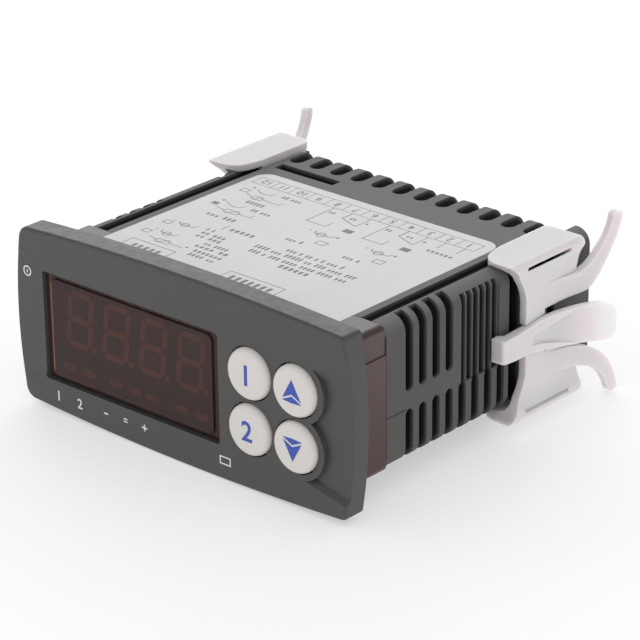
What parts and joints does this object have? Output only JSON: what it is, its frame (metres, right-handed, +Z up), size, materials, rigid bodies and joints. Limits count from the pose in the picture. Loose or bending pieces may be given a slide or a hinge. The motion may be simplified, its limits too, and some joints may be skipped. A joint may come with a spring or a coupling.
{
  "type": "pid temperature controller",
  "caption": "Panel-mounting digital temperature controller: bowed grey front with a dark display and round keys, a slotted case, and sliding side brackets with ratchet levers.",
  "frame": {"origin": "centre of the panel cut-out, on the seating face behind the front frame", "axes": "+X to the right seen from the front, +Y back into the cabinet, +Z up"},
  "size_m": [0.087, 0.0785, 0.035],
  "materials": {
    "grey_front": "fine matte",
    "grey_case": "fine matte",
    "tinted": "translucent brown, polished",
    "key_cream": "satin",
    "elastomer": "matte",
    "display_black": "matte",
    "lamp": "diffusing",
    "board": "lacquered laminate",
    "chip_black": "matte",
    "header_black": "matte",
    "label_film": "satin film",
    "relay_blue": "gloss",
    "winding": "taped winding and core",
    "can_sleeve": "sleeved can",
    "terminal_plastic": "matte",
    "clamp_metal": "plated",
    "screw_steel": "plated",
    "natural_nylon": "satin, slightly translucent"
  },
  "bodies": {
    "housing": {"front_bezel": "grey_front", "tinted_frame": "tinted", "keypad_mat": "elastomer", "display_block": "display_black", "indicator_leds": "lamp", "display_board": "board", "processor_chip": "chip_black", "case_body": "grey_case", "terminal_label": "label_film", "main_board": "board", "board_header": "header_black", "relay_one": "relay_blue", "relay_two": "relay_blue", "supply_transformer": "winding", "mains_capacitor": "can_sleeve", "output_capacitor": "can_sleeve", "terminal_block": "terminal_plastic", "terminal_clamps": "clamp_metal", "terminal_screws": "screw_steel"},
    "key_one": {"key_one": "key_cream"},
    "key_two": {"key_two": "key_cream"},
    "key_up": {"key_up": "key_cream"},
    "key_down": {"key_down": "key_cream"},
    "bracket_right": {"bracket_right": "natural_nylon"},
    "bracket_left": {"bracket_left": "natural_nylon"},
    "lever_right": {"lever_right": "natural_nylon"},
    "lever_left": {"lever_left": "natural_nylon"}
  },
  "joints": [
    {"name": "key_one_press", "type": "slide", "parent": "housing", "child": "key_one", "axis": [0, 1, 0], "range_m": [0, 0.0008], "stiffness_N_per_m": 1500, "springref_m": -0.0003},
    {"name": "key_two_press", "type": "slide", "parent": "housing", "child": "key_two", "axis": [0, 1, 0], "range_m": [0, 0.0008], "stiffness_N_per_m": 1500, "springref_m": -0.0003},
    {"name": "key_up_press", "type": "slide", "parent": "housing", "child": "key_up", "axis": [0, 1, 0], "range_m": [0, 0.0008], "stiffness_N_per_m": 1500, "springref_m": -0.0003},
    {"name": "key_down_press", "type": "slide", "parent": "housing", "child": "key_down", "axis": [0, 1, 0], "range_m": [0, 0.0008], "stiffness_N_per_m": 1500, "springref_m": -0.0003},
    {"name": "bracket_right_slide", "type": "slide", "parent": "housing", "child": "bracket_right", "axis": [0, 1, 0], "range_m": [-0.007, 0.02]},
    {"name": "bracket_left_slide", "type": "slide", "parent": "housing", "child": "bracket_left", "axis": [0, 1, 0], "range_m": [-0.01225, 0.01475]},
    {"name": "lever_right_flex", "type": "hinge", "parent": "bracket_right", "child": "lever_right", "pos_m": [0.03615, 0.0452, 0], "axis": [0, 0, 1], "range_deg": [0, 7], "stiffness_Nm_per_rad": 0.35},
    {"name": "lever_left_flex", "type": "hinge", "parent": "bracket_left", "child": "lever_left", "pos_m": [-0.03615, 0.05045, 0], "axis": [0, 0, -1], "range_deg": [0, 7], "stiffness_Nm_per_rad": 0.35}
  ]
}
